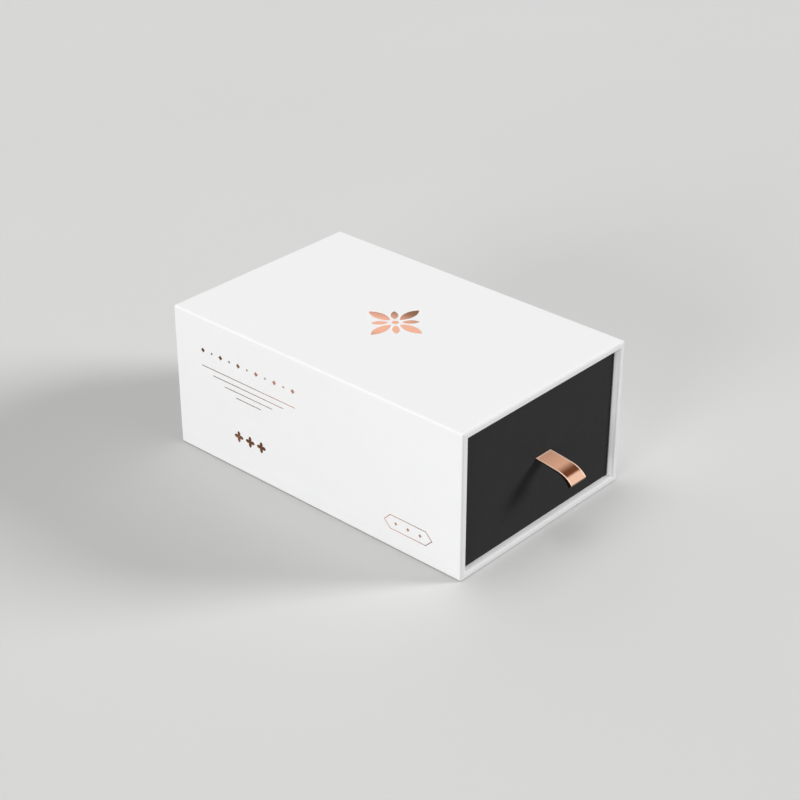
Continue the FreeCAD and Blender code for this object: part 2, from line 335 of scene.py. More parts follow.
white_paper, tree, shader, place = new_finish("white_paper")
folded = carried(tree, "fold")
tone = mix_colour(noise(place, per_metre=60.0), cool_white, warm_white)
# painted highlight: the folds are painted paler
tone = mix_colour(folded, tone, fold_highlight_white)
# painted shade: the sleeve's rim is painted grey
tone = mix_colour(carried(tree, "rim"), tone, rim_shade_white)
roughness = matt - fold_polish * folded + mottle * noise(place, per_metre=400.0)
set_shader(shader, Base_Color=tone, Roughness=roughness, Specular_IOR_Level=0.05)
paper_relief(shader, place, grain=0.004 * MM, waves=0.022 * MM)
print("made", white_paper.name)

# %% Black wrapping paper
# the folds' tone is painted shade, darker along the drawer's edges and round the slit
black, paler_black, fold_shade_black = (0.0245, 0.0245, 0.025), (0.0285, 0.0285, 0.029), (0.009, 0.009, 0.0093)
matt, mottle = 0.50, 0.08

black_paper, tree, shader, place = new_finish("black_paper")
tone = mix_colour(noise(place, per_metre=120.0, detail=4.0), black, paler_black)
# painted shade: the folds are painted darker
tone = mix_colour(carried(tree, "fold"), tone, fold_shade_black)
roughness = matt + mottle * noise(place, per_metre=500.0)
set_shader(shader, Base_Color=tone, Roughness=roughness, Specular_IOR_Level=0.02)
paper_relief(shader, place, grain=0.006 * MM, waves=0.026 * MM)
print("made", black_paper.name)

# %% [markdown]
# Greyboard is pressed waste paper: grey-brown pulp with darker and paler fibres in it. Gummed tape
# is brown kraft paper with faint lines along it. Neither is seen on the finished box, but a cut
# through the wall would show both, so they get their own finish.

# %% Greyboard and gummed tape
dark_pulp, pale_pulp, fleck = (0.27, 0.25, 0.22), (0.38, 0.355, 0.32), (0.11, 0.10, 0.09)
fleck_start, fleck_full = 0.56, 0.68      # how strong the noise is where a fleck begins
dark_kraft, pale_kraft = (0.42, 0.27, 0.15), (0.50, 0.33, 0.19)

greyboard, _, shader, place = new_finish("greyboard")
flecks = smooth_step(noise(place, per_metre=1500.0, detail=6.0), fleck_start, fleck_full)
pulp = mix_colour(noise(place, per_metre=220.0, detail=4.0), dark_pulp, pale_pulp)
set_shader(shader, Base_Color=mix_colour(flecks, pulp, fleck), Roughness=0.92, Specular_IOR_Level=0.2)
paper_relief(shader, place, grain=0.03 * MM, waves=0.04 * MM)

gummed_tape, tree, shader, place = new_finish("gummed_tape")
kraft_lines = {"Vector": place, "Scale": 220.0, "Distortion": 1.5}
lines = wire(tree, "ShaderNodeTexWave", kraft_lines, "Fac", bands_direction="X")
tone = mix_colour(lines, dark_kraft, pale_kraft)
set_shader(shader, Base_Color=tone, Roughness=0.7, Specular_IOR_Level=0.3)
paper_relief(shader, place, grain=0.008 * MM, waves=0.01 * MM)
print("made", greyboard.name, "and", gummed_tape.name)

# %% [markdown]
# Rose gold foil is a film of metal pressed hot into the paper. Its colour is painted in bands of two
# tones, brown copper and a pale peach, that sweep slowly across the box: a painted reflection of a
# bright studio that the foil, on paper never quite flat, would mirror unevenly. It lies on top of the
# real reflections.

# %% Rose gold foil
brown_copper, pale_peach = (0.23, 0.09, 0.034), (0.86, 0.43, 0.29)
sweep_direction = Vector((36.0, 13.0, -12.0))    # its length is how many sweeps go to the metre
sweep_start, sweep_wander = 10.22, 0.5
brown_until, peach_from = 0.05, 0.8              # shares of a sweep
sheen, mottle = 0.22, 0.10

rose_gold_foil, _, shader, place = new_finish("rose_gold_foil")
# painted reflection: bands of tone that stand in for the studio mirrored unevenly
sweep = sweep_start + dot(place, sweep_direction) + sweep_wander * noise(place, per_metre=25.0)
share = smooth_step(sweep.calc("PINGPONG", 1.0), brown_until, peach_from)
roughness = sheen + mottle * noise(place, per_metre=700.0)
tone = mix_colour(share, brown_copper, pale_peach)
set_shader(shader, Base_Color=tone, Roughness=roughness, Metallic=1.0)
paper_relief(shader, place, grain=0.003 * MM, waves=0.024 * MM)
print("made", rose_gold_foil.name)

# %% [markdown]
# A wrapped box. The paper is one sheet: it lies on the walls, folds over the board's edge with a
# small radius and turns down inside. Bevelling a cube would round the edges, but would not give the
# turned-in paper, so the sheet is laid out as rings that run round the box one after another, as a
# maker would draw its section. Every ring has as many points as the next, all of them at its four
# corners, so that neighbouring rings join with four-sided faces.

# %% Corners of a ring
arc_steps = 6
beside_fold = 1.1 * MM       # an extra row of points here keeps the flat beside a fold flat
corner_signs = (1, 1), (-1, 1), (-1, -1), (1, -1)


def unit(angle):
    """The flat direction at this angle from the X axis."""
    return Vector((math.cos(angle), math.sin(angle)))


def bulge(step):
    """0 at both ends of an arc and 1 in its middle."""
    return 1 - abs(2 * step / arc_steps - 1)


def fold_share(step):
    """How far the paper is folded at this step of an arc: fully in its middle two thirds."""
    return min(1.0, 3 * bulge(step))


def corner_points(low, high, radius):
    """A rectangle's outline, anticlockwise: (across, up, share of a fold, share of the crease)."""
    outline = []
    for number, (side, rise) in enumerate(corner_signs):
        centre = Vector(((high if side > 0 else low)[0] - side * radius,
                         (high if rise > 0 else low)[1] - rise * radius))
        start = number * math.pi / 2
        angles = [start + step * math.pi / 2 / arc_steps for step in range(arc_steps + 1)]
        arc = [centre + radius * unit(angle) for angle in angles]
        outline.append((*(arc[0] - unit(start + math.pi / 2) * beside_fold), 0.0, 0.0))
        outline += [(*point, fold_share(step), bulge(step)) for step, point in enumerate(arc)]
        outline.append((*(arc[-1] - unit(start) * beside_fold), 0.0, 0.0))
    return outline


print("rings have", len(corner_points((0, 0), (1, 1), 0.1)), "points")

# %% [markdown]
# From ring to ring the paper turns through its folds: one over the base's edge, and two over a rim,
# with a flat between them. On a real rim the paper is cut at the corners and meets there, which
# shows as a fine crease on each corner's diagonal; the two rings on that flat are creased.

# %% Folds, from ring to ring
beside_crease = 0.25 * MM


def quarter_turn(radius, towards_rim):
    """Steps of a fold: how far it has gone across the rim, how far up towards it, and its share."""
    for step in range(arc_steps + 1):
        angle = math.pi / 2 * step / arc_steps
        if towards_rim:
            yield radius * (1 - math.cos(angle)), radius * math.sin(angle), fold_share(step)
        else:
            yield radius * math.sin(angle), radius * math.cos(angle), fold_share(step)


def rim_section(radius, wall, hem):
    """From the flat of a wall, over its rim and down inside: (inset, depth below rim, fold, crease)."""
    flat = radius + beside_crease
    section = [(0.0, radius + beside_fold, 0.0, 0.0)]
    section += [(inset, radius - rise, share, 0.0) for inset, rise, share in quarter_turn(radius, True)]
    section += [(flat, 0.0, 0.0, 1.0), (wall - flat, 0.0, 0.0, 1.0)]
    section += [(wall - radius + inset, radius - rise, share, 0.0)
                for inset, rise, share in quarter_turn(radius, False)]
    return section + [(wall, radius + beside_fold, 0.0, 0.0), (wall, hem, 0.0, 0.0)]


def base_section(radius):
    """From the flat of the base out to a wall: (inset, height above the base, fold)."""
    section = [(radius + beside_fold, 0.0, 0.0)]
    section += [(radius - across, radius - rise, share)
                for across, rise, share in quarter_turn(radius, False)]
    return section + [(0.0, radius + beside_fold, 0.0)]


print("a fold takes", arc_steps + 1, "rings")

# %% Joining the rings
crease_radius = 0.12 * MM
crease_depth = 0.07 * MM


def add_ring(bm, fold, low, high, height, radius, share, crease, put, inwards):
    """One ring of points. put turns (across, up, height) into a place; a crease is pressed inwards."""
    radius = max(crease_radius, radius)
    ring = []
    for across, up, corner, middle in corner_points(low, high, radius):
        point = bm.verts.new(put(across, up, height) + inwards * (crease_depth * crease * middle ** 2))
        point[fold] = max(share, corner if radius > crease_radius else 0.0)
        ring.append(point)
    return ring


def join_rings(bm, rings, left_open=()):
    """Four-sided faces between each ring and the next, except those left open, which are returned."""
    gaps = []
    for number, (first, second) in enumerate(zip(rings, rings[1:])):
        for place in range(len(first)):
            after = (place + 1) % len(first)
            corners = [first[place], first[after], second[after], second[place]]
            if (number, place) in left_open:
                gaps.append(corners)
            else:
                bm.faces.new(corners)
    return gaps


def stack_loops(bm, fold, loops):
    """Loops of points joined one inside another; returns the outermost and the innermost."""
    rows = []
    for points, share in loops:
        row = [bm.verts.new(point) for point in points]
        for point in row:
            point[fold] = share
        rows.append(row)
    join_rings(bm, rows)
    return rows[0], rows[-1]


print("ready to join rings")

# %% [markdown]
# A flat field with holes in it, such as the top of the box round the rosette's pocket, is no ring.
# It is filled with triangles between its outline and its holes, which need no neat rows because
# the field is flat.

# %% Fields with holes


def fill(bm, outline, holes, normal):
    """A flat field inside the outline, round the holes."""
    edges = []
    for loop in [outline] + holes:
        for first, second in zip(loop, loop[1:] + loop[:1]):
            edges.append(bm.edges.get((first, second)) or bm.edges.new((first, second)))
    made = bmesh.ops.triangle_fill(bm, use_beauty=True, edges=edges, normal=normal)
    for face in made["geom"]:
        if isinstance(face, bmesh.types.BMFace):
            face.normal_update()
            if face.normal.dot(normal) < 0:
                face.normal_flip()


print("ready to fill fields")

# %% [markdown]
# A finished sheet gets its thickness inwards, so that its outside stays where it was drawn, and is
# shaded smooth over its folds and flat elsewhere. The thickness comes from a modifier, which is
# applied at once: what is left is a plain mesh. It rides on its body in place of the CAD node.

# %% Finished pieces
sheet_sharp_angle = math.radians(40)


def shade(mesh, sharp_angle):
    """Smooth, but with a sharp edge wherever two faces meet at more than this angle."""
    mesh.shade_smooth()
    mesh.set_sharp_from_angle(angle=sharp_angle)


def finish_piece(name, bm, finish, thickness=None):
    """A mesh object with smooth folds and flat flats; the paper's thickness goes inwards."""
    bmesh.ops.recalc_face_normals(bm, faces=bm.faces[:])
    mesh = bpy.data.meshes.new(name)
    bm.to_mesh(mesh)
    bm.free()
    mesh.materials.append(finish)
    piece = put_in_scene(name, mesh)
    if thickness:
        shell = piece.modifiers.new("thickness", "SOLIDIFY")
        shell.thickness = thickness
        shell.offset = -1.0
        shell.use_even_offset = True
        evaluated = piece.evaluated_get(bpy.context.evaluated_depsgraph_get())
        piece.data = bpy.data.meshes.new_from_object(evaluated)
        piece.data.name = name
        piece.modifiers.clear()
    shade(piece.data, sheet_sharp_angle)
    return piece


def stand_for(piece, body, node_name):
    """The piece rides on this body and replaces this CAD node."""
    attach(piece, body)
    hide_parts(node_name)
    print(piece.name, len(piece.data.polygons), "faces")


print("ready to finish pieces")

# %% [markdown]
# The rosette's leaves. A leaf lies between two arcs, so making it bigger all round only takes a
# bigger radius about the same two centres. The foil, the pocket it lies in and the soft shoulder
# round that pocket are therefore the same leaf at different growths.

# %% Outline of a leaf
leaf_points = 28
eye_points = 32
petal_count = 8
petal_start = 4.2 * MM
long_tip, long_width = 22.0 * MM, 7.0 * MM
short_tip, short_width = 15.0 * MM, 4.6 * MM
eye_radius = 2.2 * MM


def leaf_outline(start, tip, width, grow, turn):
    """Points round a leaf grown by this much, turned about the middle of the rosette."""
    half_length, half_width = (tip - start) / 2, width / 2
    radius = (half_length ** 2 + half_width ** 2) / (2 * half_width)
    centre_drop = radius - half_width
    reach = math.sqrt((radius + grow) ** 2 - centre_drop ** 2)
    spin = Matrix.Rotation(turn, 2)
    outline = []
    for side in (1, -1):
        for step in range(leaf_points // 2):
            share = math.cos(math.pi * step / (leaf_points // 2))
            bulge = math.sqrt((radius + grow) ** 2 - (share * reach) ** 2) - centre_drop
            outline.append(spin @ Vector(((start + tip) / 2 + side * share * reach, side * bulge)))
    return outline


def rosette_outlines(grow):
    """The outlines of the rosette's eye and leaves, all grown by this much."""
    outlines = [[(eye_radius + grow) * unit(math.tau * step / eye_points) for step in range(eye_points)]]
    for number in range(petal_count):
        tip, width = (short_tip, short_width) if number % 2 else (long_tip, long_width)
        outlines.append(leaf_outline(petal_start, tip, width, grow, number * math.tau / petal_count))
    return outlines


print("rosette of", petal_count, "leaves,", round(2 * long_tip / MM), "mm across")

# %% [markdown]
# The sleeve's wrap. The paper comes from under the base, up the sides and over the top; at the mouth
# it folds over the board's rim and 18 mm back inside, and at the back and the base it is folded
# over and its flaps are covered by the two closing sheets.

# %% The sleeve's rings
paper = 0.25 * MM
sleeve_low, sleeve_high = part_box("sleeve_wrap")
sleeve_wall = sleeve_high.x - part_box("sleeve_back_board")[1].x + paper
sleeve_fold = 1.3 * MM
mouth_hem = 18.0 * MM
flap = 15.0 * MM
rim_fade = 1.6               # the higher, the further round the fold the rim's grey reaches

bm = bmesh.new()
fold = bm.verts.layers.float.new("fold")
rim = bm.verts.layers.float.new("rim")


def on_sleeve(across, up, height):
    return Vector((across, height, up))


def sleeve_ring(inset, y, share, crease=0.0, rim_share=0.0):
    """An upright ring round the sleeve, this far in from its outside."""
    low = (sleeve_low.x + inset, sleeve_low.z + inset)
    high = (sleeve_high.x - inset, sleeve_high.z - inset)
    inwards = Vector((0, 1, 0))
    ring = add_ring(bm, fold, low, high, y, sleeve_fold - inset, share, crease, on_sleeve, inwards)
    for point in ring:
        point[rim] = rim_share
    return ring


rings = [sleeve_ring(flap, sleeve_high.y, 0.0)]
rings += [sleeve_ring(inset, sleeve_high.y - height, share)
          for inset, height, share in base_section(sleeve_fold)]
base_rings = len(rings)
for inset, depth, share, crease in rim_section(sleeve_fold, sleeve_wall, mouth_hem):
    # painted shade on the rim: full on its flat, fading round its folds
    rim_share = min(1.0, max(0.0, rim_fade * (1 - depth / sleeve_fold)))
    rings.append(sleeve_ring(inset, sleeve_low.y + depth, 0.0, crease, rim_share))
print("sleeve has", len(rings), "rings and a wall of", round(sleeve_wall / MM, 2), "mm")

# %% [markdown]
# The die that stamps the rosette presses the top down into a pocket with a soft shoulder. So the
# rings leave out the top's field, and it is filled round the outlines of the pocket. The base's
# field is filled only along its edges, because the wrap is just folded over there.

# %% Sleeve wrap
deboss = 0.15 * MM
# the pocket's shoulder, row by row: how far outside the foil, and share of the pocket's depth
shoulder = ((0.5 * MM, 0.0), (0.3 * MM, 0.0), (0.18 * MM, 0.35), (0.06 * MM, 0.9), (0.0, 1.0))

corner_count = len(rings[0]) // 4
top_side, base_side = corner_count - 1, 3 * corner_count - 1
top_gap, base_gap = join_rings(bm, rings, {(base_rings - 1, top_side), (base_rings - 1, base_side)})

pocket = []
for outlines in zip(*(rosette_outlines(grow) for grow, _ in shoulder)):
    loops = [([Vector((*point, sleeve_high.z - share * deboss)) for point in outline], 0.0)
             for outline, (_, share) in zip(outlines, shoulder)]
    outermost, innermost = stack_loops(bm, fold, loops)
    bm.faces.new(innermost)
    pocket.append(outermost)
fill(bm, top_gap, pocket, Vector((0, 0, 1)))

field = rectangle((sleeve_low.x + flap, sleeve_low.y + flap), (sleeve_high.x - flap, sleeve_high.y - flap))
opening = [bm.verts.new((x, y, sleeve_low.z)) for x, y in field]
fill(bm, base_gap, [opening], Vector((0, 0, -1)))

sleeve_wrap = finish_piece("sleeve_wrap_paper", bm, white_paper, paper)
stand_for(sleeve_wrap, "sleeve", "sleeve_wrap")

# %% [markdown]
# The drawer's wrap. One black sheet covers the base and the four walls, turns over the rim and goes
# down inside to the floor. Its front has a slit for the ribbon, whose cut edge is pressed in a
# little, and behind that slit the paper swells over the two glued tails of the ribbon.

# %% The slit and the swelling
drawer_low, drawer_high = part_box("drawer_wrap")
ribbon_low, ribbon_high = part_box("ribbon_pull")
liner_low, liner_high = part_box("drawer_floor_liner")
drawer_fold = 0.7 * MM
drawer_wall = drawer_high.x - liner_high.x
inside_depth = drawer_high.z - liner_low.z
ribbon_width = ribbon_high.x - ribbon_low.x
slit = Vector(((ribbon_low.x + ribbon_high.x) / 2, drawer_low.y, (ribbon_low.z + ribbon_high.z) / 2))
slit_play, slit_height = 0.4 * MM, 1.2 * MM
slit_size = Vector((ribbon_width + slit_play, slit_height))
slit_radius = 0.35 * MM
tails_size = Vector((ribbon_width + 2 * paper, ribbon_high.z - ribbon_low.z + 2 * paper))
tails_radius = 0.9 * MM
tails_lift = 0.35 * MM
patch_steps = 6


def rounded_patch(size, grow, radius, y):
    """The outline of a rounded rectangle about the slit, upright, at this place behind the front."""
    half = size / 2 + Vector((grow, grow))
    radius = min(radius + grow, min(half))
    points = []
    for number, (side, rise) in enumerate(corner_signs):
        for step in range(patch_steps + 1):
            angle = math.pi / 2 * (number + step / patch_steps)
            points.append(Vector((slit.x + side * (half.x - radius) + radius * math.cos(angle), y,
                                  slit.z + rise * (half.y - radius) + radius * math.sin(angle))))
    return points


# the slit's pressed edge, row by row: how far outside it, how far pressed in, and share of a fold
# the share of a fold also paints the slit's edge darker, as painted shade
slit_rows = (0.7 * MM, 0.0, 0.0), (0.35 * MM, 0.0, 0.0), (0.14 * MM, 0.05 * MM, 0.3), (0.0, 0.14 * MM, 0.3)
slit_loops = [(rounded_patch(slit_size, grow, slit_radius, drawer_low.y + pressed), share)
              for grow, pressed, share in slit_rows]
# the swelling over the tails, row by row: how far outside them, and share of its lift
tails_rows = ((1.6 * MM, 0.0), (0.9 * MM, 0.0), (0.45 * MM, 0.3), (0.15 * MM, 0.85),
              (-0.1 * MM, 1.0), (-0.6 * MM, 1.0))
inner_y = drawer_low.y + drawer_wall
tails_loops = [(rounded_patch(tails_size, grow, tails_radius, inner_y + share * tails_lift), 0.0)
               for grow, share in tails_rows]
print("slit, mm:", [round(side / MM, 2) for side in slit_size])

# %% Drawer wrap
bm = bmesh.new()
fold = bm.verts.layers.float.new("fold")


def on_drawer(across, up, height):
    return Vector((across, up, height))


def drawer_ring(inset, z, share, crease=0.0):
    """A level ring round the drawer, this far in from its outside."""
    low = (drawer_low.x + inset, drawer_low.y + inset)
    high = (drawer_high.x - inset, drawer_high.y - inset)
    inwards = Vector((0, 0, -1))
    return add_ring(bm, fold, low, high, z, drawer_fold - inset, share, crease, on_drawer, inwards)


rings = [drawer_ring(inset, drawer_low.z + height, share)
         for inset, height, share in base_section(drawer_fold)]
bm.faces.new(rings[0])
base_rings = len(rings)
rings += [drawer_ring(inset, drawer_high.z - depth, share, crease)
          for inset, depth, share, crease in rim_section(drawer_fold, drawer_wall, inside_depth)]
front_side = base_side
openings = {(base_rings - 1, front_side), (len(rings) - 2, front_side)}
front_gap, inner_gap = join_rings(bm, rings, openings)

slit_edge, _ = stack_loops(bm, fold, slit_loops)
fill(bm, front_gap, [slit_edge], Vector((0, -1, 0)))
tails_edge, tails_top = stack_loops(bm, fold, tails_loops)
bm.faces.new(tails_top)
fill(bm, inner_gap, [tails_edge], Vector((0, 1, 0)))

drawer_wrap = finish_piece("drawer_wrap_paper", bm, black_paper, paper)
stand_for(drawer_wrap, "drawer", "drawer_wrap")

# %% [markdown]
# Geometry Nodes. Ornaments repeat and a ribbon follows a path, and both are what trees of geometry
# nodes are good at. Each tree below has named inputs in millimetres. Its result is turned into a
# plain mesh and laid in its place, so that nothing in the finished scene depends on the tree.

# %% Make a tree and run it
weld_distance = 0.0005       # in the trees' own millimetres


def new_tree(name, *numbers, **others):
    """A geometry tree that asks for these numbers, for others by kind, and for what every tree needs."""
    tree = bpy.data.node_groups.new(name, "GeometryNodeTree")
    kinds = {"Geometry": "Geometry", **others, **dict.fromkeys(numbers + ("Thickness",), "Float"),
             "Material": "Material"}
    for label, kind in kinds.items():
        tree.interface.new_socket(label, in_out="INPUT", socket_type="NodeSocket" + kind)
    tree.interface.new_socket("Geometry", in_out="OUTPUT", socket_type="NodeSocketGeometry")
    return tree, {socket.name: Wire(socket) for socket in node(tree, "NodeGroupInput").outputs}


def end_tree(geometry, material):
    """Real geometry instead of instances, its material, and the tree's output."""
    tree = geometry.tree
    real = wire(tree, "GeometryNodeRealizeInstances", {"Geometry": geometry})
    merged = wire(tree, "GeometryNodeMergeByDistance", {"Geometry": real, "Distance": weld_distance})
    painted = wire(tree, "GeometryNodeSetMaterial", {"Geometry": merged, "Material": material})
    node(tree, "NodeGroupOutput", {"Geometry": painted})
    print("tree", tree.name, len(tree.nodes), "nodes")


def grow_piece(name, tree, values, place, start=None):
    """Run the tree with these values and lay its result in place as a plain mesh."""
    host = put_in_scene(name + "_host", start or bpy.data.meshes.new(name + "_host"))
    modifier = host.modifiers.new("tree", "NODES")
    modifier.node_group = tree
    for socket in tree.interface.items_tree:
        if socket.in_out == "INPUT" and socket.name in values:
            modifier[socket.identifier] = values[socket.name]
    bpy.context.view_layer.update()
    mesh = bpy.data.meshes.new_from_object(host.evaluated_get(bpy.context.evaluated_depsgraph_get()))
    host.modifiers.clear()
    bpy.data.objects.remove(host)
    mesh.name = name
    mesh.transform(place @ Matrix.Scale(MM, 4))
    return put_in_scene(name, mesh)


print("ready to grow pieces")

# %% Shapes in a tree


def join_parts(parts):
    """Several geometries as one."""
    both = node(parts[0].tree, "GeometryNodeJoinGeometry")
    for part in parts:
        feed(both, {0: part})
    return Wire(both.outputs[0])


def plate(mesh, thickness):
    """Faces made a closed plate: raised by the thickness, with the faces below turned over."""
    feeds = {"Mesh": mesh, "Offset Scale": thickness, "Individual": False}
    raised = wire(mesh.tree, "GeometryNodeExtrudeMesh", feeds, "Mesh")
    return join_parts([raised, wire(mesh.tree, "GeometryNodeFlipFaces", {"Mesh": mesh}, "Mesh")])


def make_place(tree, x=0.0, y=0.0, z=0.0):
    """A place, turn or scale put together from three numbers."""
    return wire(tree, "ShaderNodeCombineXYZ", {0: x, 1: y, 2: z})


def move_points(geometry, places):
    """The geometry with each point moved to its new place."""
    return wire(geometry.tree, "GeometryNodeSetPosition", {"Geometry": geometry, "Position": places})


print("ready to shape plates")

# %% [markdown]
# The leaf tree bends a flat grid into a leaf. Along the leaf the grid keeps its spacing, and across
# it each row is squeezed to the width between the two arcs, so the rows meet in a point at both
# ends. A low ridge down the middle is what a stamping die leaves, and makes each leaf catch the
# light in two halves. The leaves then stand round a circle, long and short by turns.

# %% Tree for a ring of leaves
leaf_grid = {"Size X": 1.0, "Size Y": 1.0, "Vertices X": 25, "Vertices Y": 9}


def leaf_nodes(start, tip, width, ridge, thickness):
    """A leaf from start to tip along X, as a closed plate."""
    grid = wire(start.tree, "GeometryNodeMeshGrid", leaf_grid, "Mesh")
    x, y, _ = split(wire(start.tree, "GeometryNodeInputPosition"))
    length = tip - start
    half_length, half_width = 0.5 * length, 0.5 * width
    radius = (half_length ** 2 + half_width ** 2) / width
    run = x * length
    half = (radius ** 2 - run ** 2).calc("SQRT") - (radius - half_width)
    side = 2 * y
    lift = (1 - abs(side)) * ridge * (half / half_width)
    places = make_place(start.tree, start + half_length + run, side * half, lift)
    return plate(move_points(grid, places), thickness)


def ring_of(count, leaf, remainder=None):
    """The leaf stood round the middle at every angle, or only where number % 2 is the remainder."""
    spots = wire(count.tree, "GeometryNodePoints", {"Count": count})
    number = wire(count.tree, "GeometryNodeInputIndex")
    turn = make_place(count.tree, z=number * math.tau / count)
    feeds = {"Points": spots, "Instance": leaf, "Rotation": turn}
    if remainder is not None:
        feeds["Selection"] = (number % 2).calc("COMPARE", remainder, 0.1)
    return wire(count.tree, "GeometryNodeInstanceOnPoints", feeds)


rosette_tree, asked = new_tree("rosette", "Start", "Long tip", "Long width", "Short tip", "Short width",
                               "Eye radius", "Ridge", Leaves="Int")
rings = []
for remainder, size in ((0.0, "Long"), (1.0, "Short")):
    tip, width = asked[size + " tip"], asked[size + " width"]
    leaf = leaf_nodes(asked["Start"], tip, width, asked["Ridge"], asked["Thickness"])
    rings.append(ring_of(asked["Leaves"], leaf, remainder))
disc_size = {"Vertices": eye_points, "Radius": asked["Eye radius"]}
eye = plate(wire(rosette_tree, "GeometryNodeMeshCircle", disc_size, fill_type="NGON"), asked["Thickness"])
end_tree(join_parts(rings + [eye]), asked["Material"])

# %% The rosette on the top
foil_thickness = 0.05 * MM
foil_mm = foil_thickness / MM
leaf_ridge = 0.07


def stamp(name, tree, node_name, place, **values):
    """Grow a piece of foil in its place on the sleeve; it stands for this CAD node."""
    values = {label.replace("_", " "): value for label, value in values.items()}
    values.update({"Thickness": foil_mm, "Material": rose_gold_foil})
    stand_for(grow_piece(name, tree, values, place), "sleeve", node_name)


top_of_pocket = Matrix.Translation((0, 0, sleeve_high.z - deboss))
stamp("top_rosette_foil", rosette_tree, "top_foil_rosette", top_of_pocket,
      Leaves=petal_count, Start=petal_start / MM, Long_tip=long_tip / MM, Long_width=long_width / MM,
      Short_tip=short_tip / MM, Short_width=short_width / MM, Eye_radius=eye_radius / MM, Ridge=leaf_ridge)

# %% [markdown]
# The row tree places one small plate after another along a line: lozenges that are large and small
# by turns, or bars that get shorter line by line. Both take the plate's size from its number in the
# row, so one tree serves the divider, the rules and the beads.

# %% Tree for a row


def number_in_row(count):
    """Each point's number, and its place counted from the middle of the row."""
    number = wire(count.tree, "GeometryNodeInputIndex")
    return number, number - 0.5 * (count - 1)


def stand_on(count, places, shape, **more):
    """The shape stood on each of these places."""
    spots = wire(count.tree, "GeometryNodePoints", {"Count": count, "Position": places})
    feeds = {"Points": spots, "Instance": shape, **more}
    return wire(count.tree, "GeometryNodeInstanceOnPoints", feeds)


row_tree, asked = new_tree("row", "Step across", "Step down", "Length", "Shrink", "Odd share", "Width",
                           Count="Int", Bars="Bool")
number, counted = number_in_row(asked["Count"])
places = make_place(row_tree, counted * asked["Step across"], -1 * number * asked["Step down"])
share = 1 + (number % 2) * (asked["Odd share"] - 1)
shorter = asked["Length"] - number * asked["Shrink"]
size = make_place(row_tree, shorter * share, asked["Width"] * share, 1.0)
lozenge = wire(row_tree, "GeometryNodeMeshCircle", {"Vertices": 4, "Radius": 0.5}, fill_type="NGON")
bar_size = {"Size X": 1.0, "Size Y": 1.0, "Vertices X": 2, "Vertices Y": 2}
bar = wire(row_tree, "GeometryNodeMeshGrid", bar_size, "Mesh")
choice = {"Switch": asked["Bars"], "False": lozenge, "True": bar}
one = plate(wire(row_tree, "GeometryNodeSwitch", choice, input_type="GEOMETRY"), asked["Thickness"])
end_tree(stand_on(asked["Count"], places, one, Scale=size), asked["Material"])

# %% [markdown]
# The long side's ornaments lie on the left wall. Each is drawn flat, as on the maker's sheet, and
# then stood up: its X runs from the back of the box to the mouth, and its Y runs up.
# The foil is level with the paper in the CAD model; here its top is raised by a hair, so that
# the two faces don't lie in one plane.

# %% Ornaments on the long side
hair = 0.015 * MM
divider_length, rule_width = 82.0, 0.5
diamond, small_diamond, diamond_count = 3.4, 1.8, 11
stand_up = Matrix(((0, 0, -1, 0), (-1, 0, 0, 0), (0, 1, 0, 0), (0, 0, 0, 1)))


def on_left_side(node_name, from_top=None):
    """From a flat drawing to the middle of this foil on the left wall, or to this far below its top."""
    low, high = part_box(node_name)
    height = (low.z + high.z) / 2 if from_top is None else high.z - from_top
    middle = (sleeve_low.x + foil_thickness - hair, (low.y + high.y) / 2, height)
    return Matrix.Translation(middle) @ stand_up


stamp("side_divider_foil", row_tree, "side_foil_divider", on_left_side("side_foil_divider"),
      Count=diamond_count, Step_across=(divider_length - diamond) / (diamond_count - 1),
      Length=diamond, Width=diamond, Odd_share=small_diamond / diamond)
stamp("side_rules_foil", row_tree, "side_foil_rules", on_left_side("side_foil_rules", rule_width / 2 * MM),
      Count=4, Bars=True, Step_down=4.2, Length=divider_length, Shrink=20.0, Odd_share=1.0,
      Width=rule_width)

# %% [markdown]
# The florets are three small rings of four leaves. Their tree is the leaf and the ring again, with
# the whole ring stood at each place of a row. The leaves start a hair out from the middle, because
# meshes that meet in one line have no clear inside there.

# %% Florets
floret_tree, asked = new_tree("florets", "Pitch", "Start", "Tip", "Width", Count="Int", Leaves="Int")
leaf = leaf_nodes(asked["Start"], asked["Tip"], asked["Width"], 0.0, asked["Thickness"])
floret = ring_of(asked["Leaves"], leaf)
_, counted = number_in_row(asked["Count"])
places = make_place(floret_tree, counted * asked["Pitch"])
end_tree(stand_on(asked["Count"], places, floret), asked["Material"])
stamp("side_florets_foil", floret_tree, "side_foil_florets", on_left_side("side_foil_florets"),
      Count=3, Pitch=10.0, Leaves=4, Start=0.1, Tip=4.0, Width=2.6)

# %% [markdown]
# The cartouche is a line round a long hexagon, with three beads inside. A line of even width round
# corners is easiest as two outlines, one inside the other, joined by faces; the beads come from
# the row tree again.

# %% Cartouche
cartouche_length, cartouche_width, cartouche_line = 38.0, 10.0, 0.5
bead = 2.4


def pointed_bar(bm, length, width, height):
    """A long hexagon with square tips."""
    shoulder = (length - width) / 2
    outline = [(length / 2, 0), (shoulder, width / 2), (-shoulder, width / 2),
               (-length / 2, 0), (-shoulder, -width / 2), (shoulder, -width / 2)]
    return [bm.verts.new((x, y, height)) for x, y in outline]


